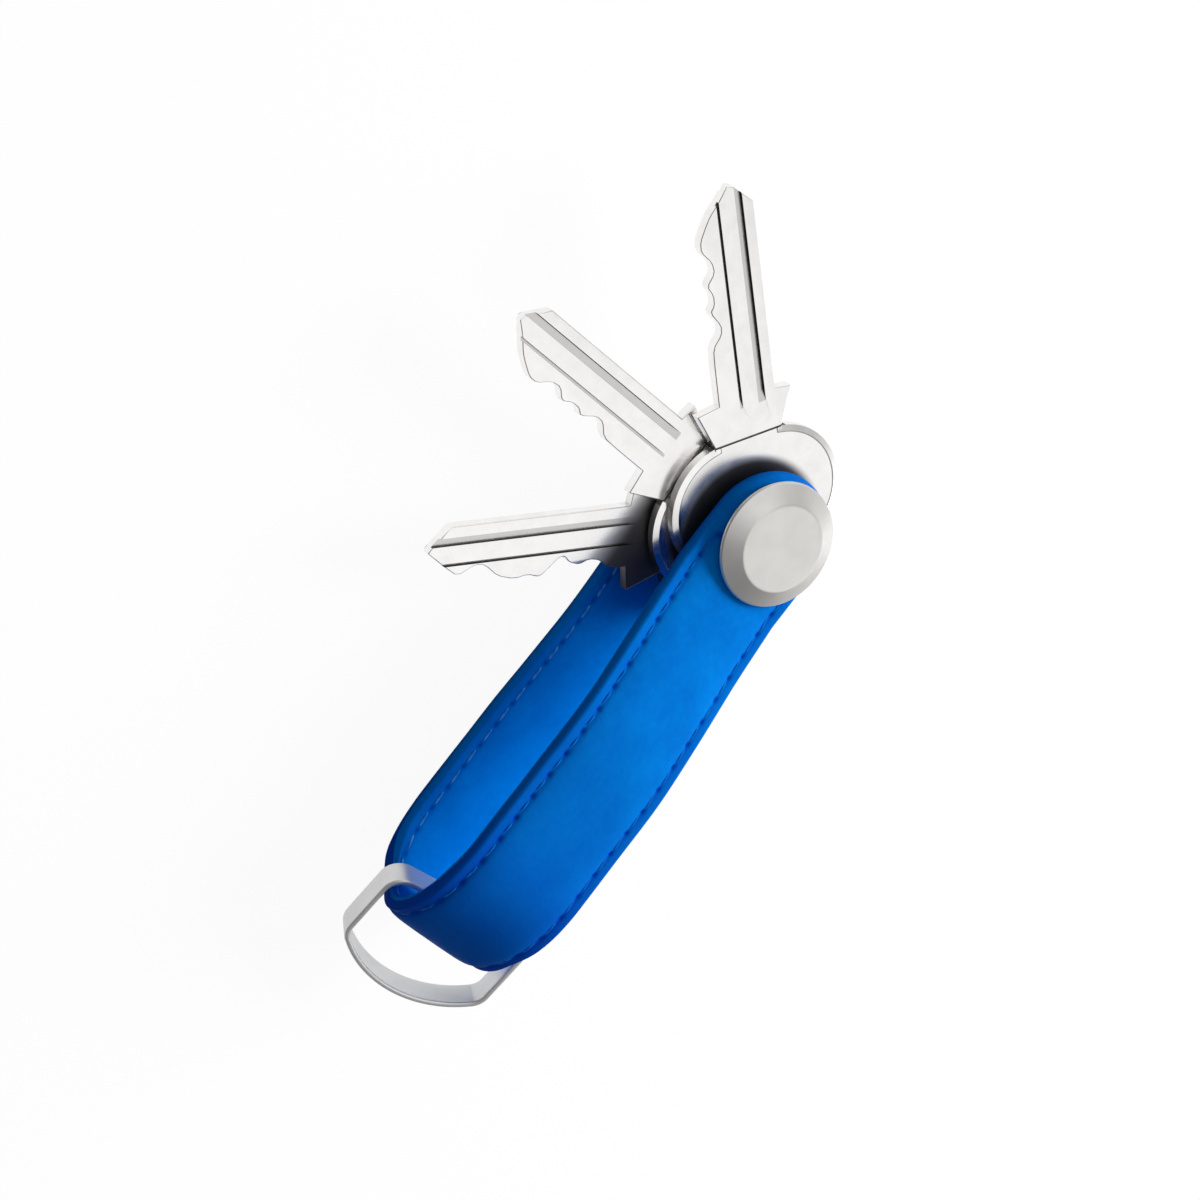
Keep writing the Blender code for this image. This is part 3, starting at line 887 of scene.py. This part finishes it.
key = {
    "thickness": 1.88,
    "milledThickness": 1.7,
    "reach": 50.4,
    "headRadius": 9.5,
    "headCentre": 4.6,
    "headSpread": 7.4,
    "sideShift": -0.7,
    "neckReach": 14.2,
    "neckWidth": 10.7,
    "neckLine": 13.9,
    "shoulderReach": 19.8,
    "shoulderWidth": 14.7,
    "shoulderLip": 0.4,
    "bladeWidth": 8.8,
    "bladeBack": 5.6,
    "tipRise": 3.4,
    "tipChamfer": 3.5,
    "holeRadius": 2.9,
    "rimWidth": 0.8,
    "rimDepth": 0.3,
    "stepWidth": 0.16,
    "stepDepth": 0.08,
    "neckCut": 0.3,
    "neckCutDepth": 0.16,
    "edge": 0.2,
    "millEdge": 0.05,
    "grooveDepth": 0.5,
    "grooveStart": 15.5,
    "grooveRamp": 4.5,
}
# milled grooves: height above the blade's back, width, and 1 for the front or -1 for the back
keyGrooves = [(5.4, 0.5, 1), (2.1, 1.3, 1), (3.7, 1.3, -1)]
# bitting, from the tip: shares of the blade's length and of its width
commonCuts = [
    (0.938, 0.557), (0.876, 0.773), (0.837, 0.864), (0.778, 0.983), (0.729, 0.989),
    (0.670, 0.830), (0.618, 0.807), (0.569, 0.960), (0.520, 0.875), (0.474, 0.875),
    (0.444, 0.960), (0.373, 0.807), (0.330, 0.812), (0.278, 0.985), (0.180, 1.000),
]
lowKeyCuts = [
    (0.990, 0.420), (0.912, 0.648), (0.846, 0.818), (0.765, 0.670), (0.716, 0.682),
    (0.647, 0.898), (0.562, 0.977), (0.497, 0.932), (0.435, 1.000), (0.376, 0.818),
    (0.343, 0.716), (0.317, 0.705), (0.291, 0.818), (0.239, 0.875), (0.190, 0.807),
    (0.137, 0.841), (0.092, 0.965), (0.039, 1.000),
]
# node, body, direction in degrees, cuts, the hole's shift, and the painted shade round the post that stands
# in for the strap's shadow on the head: where it ends, where it is full, and how far it narrows along Y
keys = [
    ("key_front", "front_key", 142.9, commonCuts, (0.0, 0.0), (12.0, 10.3, 1.0)),
    ("key_middle", "middle_key", 181.1, commonCuts, (0.0, 0.0), (12.6, 10.6, 1.0)),
    ("key_rear", "rear_key", 219.4, lowKeyCuts, (-2.2, 1.5), (17.0, 12.8, 0.25)),
]


def softened(points, share):
    # each corner of an open run of points is cut back a little on both sides
    result = [points[0]]
    for before, corner, after in zip(points, points[1:], points[2:]):
        for other in (before, after):
            result.append(tuple(c + (o - c) * share for c, o in zip(corner, other)))
    result.append(points[-1])
    return result


def bladeOutline(cuts):
    back = -key["bladeBack"]
    run = key["reach"] - key["shoulderReach"]
    middle = key["sideShift"]
    root = key["headCentre"] + 3
    toothed = [(key["shoulderReach"] + a * run, back + h * key["bladeWidth"]) for a, h in cuts]
    lip = key["shoulderReach"] - key["shoulderLip"]
    points = [(root, middle - key["neckWidth"] / 2), (key["neckReach"], middle - key["neckWidth"] / 2)]
    points += [(lip, middle - key["shoulderWidth"] / 2), (key["shoulderReach"], back)]
    tip = [(key["reach"] - key["tipChamfer"], back), (key["reach"], back + key["tipRise"])]
    points += softened(tip + toothed + [(key["shoulderReach"], back + key["bladeWidth"])], 0.2)
    points += [(lip, middle + key["shoulderWidth"] / 2)]
    points += [(key["neckReach"], middle + key["neckWidth"] / 2), (root, middle + key["neckWidth"] / 2)]
    return points


def headOutline():
    middle = key["sideShift"]
    meet = math.asin((key["neckWidth"] - key["headSpread"]) / 2 / key["headRadius"])
    upper = (key["headCentre"], middle + key["headSpread"] / 2)
    lower = (key["headCentre"], middle - key["headSpread"] / 2)
    points = arc(upper, key["headRadius"], meet, math.pi, 40)
    points += arc(lower, key["headRadius"], math.pi, 2 * math.pi - meet, 40)
    end = key["neckReach"] + 3
    points += [(end, middle - key["neckWidth"] / 2), (end, middle + key["neckWidth"] / 2)]
    return points


def grooveCutter(centre, width, side):
    # a milled channel that runs out in a ramp near the shoulder
    start, end = key["grooveStart"], key["reach"] + 2
    surface = key["milledThickness"] / 2
    cutter = blockPiece(
        "groove", (start, centre - width / 2, surface - key["grooveDepth"]),
        (end, centre + width / 2, surface + 1),
    )
    for vertex in cutter.data.vertices:
        if vertex.co.x / mm < start + 0.1 and vertex.co.z / mm < surface:
            vertex.co.x += key["grooveRamp"] * mm
        if vertex.co.y / mm < centre and vertex.co.z / mm < surface:
            vertex.co.y += width * 0.18 * mm
        vertex.co.z *= side
    tidyMesh(cutter, 0.0000001)
    return cutter


def markPaintedShade(thing, shift):
    # painted shade: the walls and floors of the milled channels, the cut at the neck line and the sloped
    # edge faces at the head end are marked dark, standing in for their shade and dark reflections
    paintedShade = thing.data.attributes.new("paintedShade", "FLOAT", "CORNER")
    surface = key["milledThickness"] / 2
    for polygon in thing.data.polygons:
        middle = polygon.center / mm
        x, y, steep = middle.x - shift[0], middle.y - shift[1], abs(polygon.normal.z)
        amount = 0.0
        for rise, width, side in keyGrooves:
            inside = abs(y - rise + key["bladeBack"]) < width / 2 + 0.1 and x > key["grooveStart"] - 0.1
            if inside and surface - key["grooveDepth"] - 0.1 < middle.z * side < surface - 0.01:
                amount = 0.95 if steep < 0.9 else 0.3
        if abs(x - key["neckLine"] - key["neckCut"] / 2) < key["neckCut"] / 2 + 0.1:
            amount = 0.8
        if x < key["neckLine"] and abs(middle.z) > surface - 0.2 and 0.86 < steep < 0.915:
            amount = 0.6
        for loop in polygon.loop_indices:
            paintedShade.data[loop].value = amount


def headPlate(node):
    # the head is thicker in its middle, with a low step round the flat face
    flat = key["thickness"] / 2
    head = outlinePiece(node + "Head", [headOutline()], flat, key["rimWidth"], 0)
    for vertex in head.data.vertices:
        fromFace = (flat * mm - abs(vertex.co.z)) / (key["rimWidth"] * mm)
        newHeight = flat - key["rimDepth"] * min(fromFace, 1.0)
        vertex.co.z = math.copysign(newHeight * mm, vertex.co.z)
    pick(head)
    for polygon in head.data.polygons:
        polygon.select = abs(polygon.normal.z) > 0.99
    bpy.ops.object.mode_set(mode="EDIT")
    bpy.ops.mesh.select_mode(type="FACE")
    bpy.ops.mesh.inset(thickness=key["stepWidth"] * mm, depth=-key["stepDepth"] * mm)
    bpy.ops.mesh.select_all(action="SELECT")
    bpy.ops.mesh.bisect(
        plane_co=(key["neckLine"] * mm, 0.0, 0.0), plane_no=(1.0, 0.0, 0.0),
        use_fill=True, clear_outer=True,
    )
    bpy.ops.object.mode_set(mode="OBJECT")
    tidyMesh(head, 0.000001)
    return head


def makeKey(node, body, degrees, cuts, shift, headShade):
    low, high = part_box(node)
    title = node.title().replace("_", "")
    blade = outlinePiece(node + "Plate", [bladeOutline(cuts)], key["milledThickness"] / 2, key["edge"], 2)
    boolean(blade, headPlate(node), "UNION")
    for rise, width, side in keyGrooves:
        boolean(blade, grooveCutter(rise - key["bladeBack"], width, side), "DIFFERENCE")
    for side in (-1, 1):
        line = blockPiece(
            "neckCut",
            (key["neckLine"], -key["shoulderWidth"], key["milledThickness"] / 2 - key["neckCutDepth"]),
            (key["neckLine"] + key["neckCut"], key["shoulderWidth"], key["thickness"]),
        )
        for vertex in line.data.vertices:
            vertex.co.z *= side
        tidyMesh(line, 0.0000001)
        boolean(blade, line, "DIFFERENCE")
    for vertex in blade.data.vertices:
        vertex.co.x += shift[0] * mm
        vertex.co.y += shift[1] * mm
    deselectAll()
    bpy.ops.mesh.primitive_cylinder_add(vertices=64, radius=key["holeRadius"] * mm, depth=6 * mm)
    boolean(blade, named("postHole"), "DIFFERENCE")
    tidyMesh(blade, 0.000002)
    roundEdges(blade, key["millEdge"], 1, 50)
    markPaintedShade(blade, shift)
    blade.name = "nickel" + title
    blade.data.name = blade.name
    blade.rotation_euler.z = math.radians(degrees)
    blade.location.z = (low.z + high.z) / 2
    placeInMesh(blade)
    smoothByAngle(blade, 40)
    flatFaces(blade)
    dress(blade, nickelMaterial("nickelPlate" + title, degrees, headShade))
    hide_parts(node)
    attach(blade, body)
    return blade


for node, body, degrees, cuts, shift, headShade in keys:
    madeKey = makeKey(node, body, degrees, cuts, shift, headShade)
    print("key made", madeKey.name, len(madeKey.data.polygons))


def bentCorner(before, corner, after, radius, steps):
    corner = Vector(corner)
    inward = (Vector(before) - corner).normalized()
    outward = (Vector(after) - corner).normalized()
    half = inward.angle(outward) / 2
    centre = corner + (inward + outward).normalized() * radius / math.sin(half)
    start = (corner + inward * radius / math.tan(half) - centre).normalized()
    end = (corner + outward * radius / math.tan(half) - centre).normalized()
    turns = [start.slerp(end, i / steps).normalized() for i in range(steps + 1)]
    return [centre + turn * radius for turn in turns]


def ringOutline():
    # the outer outline of the D, its bar at y 0 and its bow toward -Y
    half = ring["halfSpan"]
    bar = ring["thickness"] / 2
    armEnd = -(ring["length"] - ring["bowRise"] - ring["thickness"] / 2)
    bowRadius = (half**2 + ring["bowRise"] ** 2) / (2 * ring["bowRise"])
    centreY = armEnd - ring["bowRise"] + bowRadius
    sweep = math.asin(half / bowRadius)
    bow = arc((0.0, centreY), bowRadius, -math.pi / 2 - sweep, -math.pi / 2 + sweep, 40)
    leftTop, rightTop = (-half, bar), (half, bar)
    points = bentCorner(rightTop, leftTop, bow[0], ring["barBend"], 12)
    points += bentCorner(leftTop, bow[0], bow[1], ring["bowBend"], 14)
    points += [Vector(p) for p in bow[3:-3]]
    points += bentCorner(bow[-2], bow[-1], rightTop, ring["bowBend"], 14)
    points += bentCorner(bow[-1], rightTop, leftTop, ring["barBend"], 12)
    return points


ringLine = ringOutline()
halfBand = ring["thickness"] / 2
halfWide = ring["width"] / 2
softEdge = ring["edgeRound"]
ringSection = []
for signX, signZ, start in ((1, 1, 0), (-1, 1, 90), (-1, -1, 180), (1, -1, 270)):
    corner = (signX * (halfBand - softEdge), signZ * (halfWide - softEdge))
    ringSection += arc(corner, softEdge, math.radians(start), math.radians(start + 90), 5)


def ringPlace(row, column):
    # the band's section follows the outline, with its outer face on it
    count = len(ringLine)
    point = ringLine[row % count]
    along = (ringLine[(row + 1) % count] - ringLine[(row - 1) % count]).normalized()
    outwards = Vector((along.y, -along.x)) * -1
    depth, height = ringSection[column % len(ringSection)]
    spot = point + outwards * (depth - halfBand)
    return spot.x, spot.y, height


bandRing = gridPiece("satinDRing", len(ringLine) + 1, len(ringSection) + 1, ringPlace)
ringTurn = Euler([math.radians(angle) for angle in ring["tilt"]], "XYZ").to_matrix().to_4x4()
bandRing.matrix_world = Matrix.Translation(Vector(ring["centre"]) * mm) @ ringTurn
placeInMesh(bandRing)
tidyMesh(bandRing, 0.000001)
smoothByAngle(bandRing, 40)
flatFaces(bandRing)
dress(bandRing, ringSteel)
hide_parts("d_ring")
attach(bandRing, "ring")
print("ring made")

for nodeName in ("front_washer", "spacer_1", "spacer_2", "spacer_3"):
    dress(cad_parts[nodeName], washerSteel)


studio = {
    "paper": "#A8A8A8",
    "paperWhite": 0.94,
    "poolNear": 0.06,
    "poolFar": 0.22,
    "poolRim": 0.3,
    "skyMatt": 0.62,
    "haze": 0.3,
    "hazeTone": "#B4B4B4",
    "skyTowards": (0.40, 0.60, 0.69),
    "skyTones": [
        (0.48, "#686868"), (0.6, "#7A7A7A"), (0.69, "#C4C4C4"), (0.755, "#FFFFFF"),
        (0.925, "#FFFFFF"), (0.962, "#D8D8D8"), (1.0, "#BCBCBC"),
    ],
}

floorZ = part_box("rear_cap")[0].z
deselectAll()
bpy.ops.mesh.primitive_plane_add(size=6.0, location=(0.0, 0.0, floorZ - 0.00005))
floor = named("paperFloor")
floorMaterial, floorTree, floorShader = newMaterial("whitePaper")
floorShader.inputs["Roughness"].default_value = 1.0
floorShader.inputs["Specular IOR Level"].default_value = 0.0
rays = addNode(floorTree, "ShaderNodeLightPath")
paperColour = addNode(
    floorTree, "ShaderNodeMix",
    {"data_type": "RGBA", 6: toLinear(studio["paper"]), 7: toLinear("#FFFFFF")},
    {0: rays.outputs["Is Camera Ray"]},
)
floorTree.links.new(paperColour.outputs[2], floorShader.inputs["Base Color"])
# metal sees a pool of light round the piece that fades with distance
fromPiece = addNode(
    floorTree, "ShaderNodeVectorMath", {"operation": "LENGTH"},
    {0: addNode(floorTree, "ShaderNodeTexCoord").outputs["Object"]},
)
pool = addNode(
    floorTree, "ShaderNodeMapRange",
    {"From Min": studio["poolNear"], "From Max": studio["poolFar"], "To Min": 1.0,
     "To Max": studio["poolRim"]},
    {"Value": fromPiece.outputs["Value"]},
)
reflected = addNode(
    floorTree, "ShaderNodeMath", {"operation": "MULTIPLY"},
    {0: rays.outputs["Is Glossy Ray"], 1: pool.outputs["Result"]},
)
seen = addNode(
    floorTree, "ShaderNodeMath", {"operation": "MAXIMUM"},
    {0: rays.outputs["Is Camera Ray"], 1: reflected.outputs[0]},
)
seen = addNode(
    floorTree, "ShaderNodeMath", {"operation": "MAXIMUM"},
    {0: seen.outputs[0], 1: rays.outputs["Is Transmission Ray"]},
)
white = addNode(floorTree, "ShaderNodeEmission", {"Color": toLinear("#FFFFFF"), "Strength": 1.0})
amount = addNode(
    floorTree, "ShaderNodeMath", {"operation": "MULTIPLY", 1: studio["paperWhite"]},
    {0: seen.outputs[0]},
)
paper = addNode(
    floorTree, "ShaderNodeMixShader",
    links={0: amount.outputs[0], 1: floorShader.outputs[0], 2: white.outputs[0]},
)
floorTree.links.new(paper.outputs[0], floorTree.nodes["Material Output"].inputs["Surface"])
dress(floor, floorMaterial)

world = bpy.data.worlds.new("studio")
bpy.context.scene.world = world
world.use_nodes = True
sky = world.node_tree
background = sky.nodes["Background"]
# a bright ceiling that slopes down toward +X and +Y, and a dimmer studio behind the camera
towards = addNode(
    sky, "ShaderNodeVectorMath",
    {"operation": "DOT_PRODUCT", 1: Vector(studio["skyTowards"]).normalized()},
    {0: addNode(sky, "ShaderNodeTexCoord").outputs["Generated"]},
)
halved = addNode(
    sky, "ShaderNodeMath", {"operation": "MULTIPLY_ADD", 1: 0.5, 2: 0.5},
    {0: towards.outputs["Value"]},
)
shade = colourRamp(sky, halved.outputs[0], studio["skyTones"])
skyRays = addNode(sky, "ShaderNodeLightPath")
skySeen = addNode(
    sky, "ShaderNodeMath", {"operation": "MAXIMUM"},
    {0: skyRays.outputs["Is Glossy Ray"], 1: skyRays.outputs["Is Transmission Ray"]},
)
dimmed = addNode(
    sky, "ShaderNodeMapRange", {"To Min": studio["skyMatt"], "To Max": 1.0},
    {"Value": skySeen.outputs[0]},
)
# matt surfaces get a little light from every side
hazy = addNode(
    sky, "ShaderNodeMapRange", {"To Min": studio["haze"], "To Max": 0.0},
    {"Value": skySeen.outputs[0]},
)
softShade = addNode(
    sky, "ShaderNodeMix", {"data_type": "RGBA", 7: toLinear(studio["hazeTone"])},
    {0: hazy.outputs["Result"], 6: shade},
)
skyColour = addNode(
    sky, "ShaderNodeMix", {"data_type": "RGBA", 7: toLinear("#FFFFFF")},
    {0: skyRays.outputs["Is Camera Ray"], 6: softShade.outputs[2]},
)
skyStrength = addNode(
    sky, "ShaderNodeMath", {"operation": "MAXIMUM"},
    {0: dimmed.outputs["Result"], 1: skyRays.outputs["Is Camera Ray"]},
)
sky.links.new(skyColour.outputs[2], background.inputs["Color"])
sky.links.new(skyStrength.outputs[0], background.inputs["Strength"])

# name, place and size in metres, power in watts, and whether matt and shiny surfaces see it
lamps = [
    ("windowLight", (0.40, 0.46, 0.34), 0.36, 6.8, True, False),
    ("sideLight", (0.62, 0.22, 0.02), 0.22, 0.2, False, True),
]
aim = Vector((-0.005, -0.02, -0.01))
for name, place, size, power, diffuse, glossy in lamps:
    light = bpy.data.lights.new(name, "AREA")
    light.size = size
    light.energy = power
    lamp = bpy.data.objects.new(name, light)
    bpy.context.collection.objects.link(lamp)
    lamp.visible_diffuse = diffuse
    lamp.visible_glossy = glossy
    lamp.location = place
    lamp.rotation_euler = (aim - Vector(place)).to_track_quat("-Z", "Y").to_euler()

# the camera was solved from the photograph
cameraData = bpy.data.cameras.new("camera")
cameraData.lens = 110.85
cameraData.sensor_width = 36.0
cameraData.clip_start = 0.02
camera = bpy.data.objects.new("camera", cameraData)
bpy.context.collection.objects.link(camera)
right = Vector((0.6198, 0.6101, 0.4936))
down = Vector((0.5033, -0.7916, 0.3465))
forward = Vector((0.6021, 0.0337, -0.7977))
turn = Matrix((right, -down, -forward)).transposed()
camera.matrix_world = Matrix.Translation(Vector((-0.31218, -0.03737, 0.38799))) @ turn.to_4x4()
bpy.context.scene.camera = camera
print("stage made")
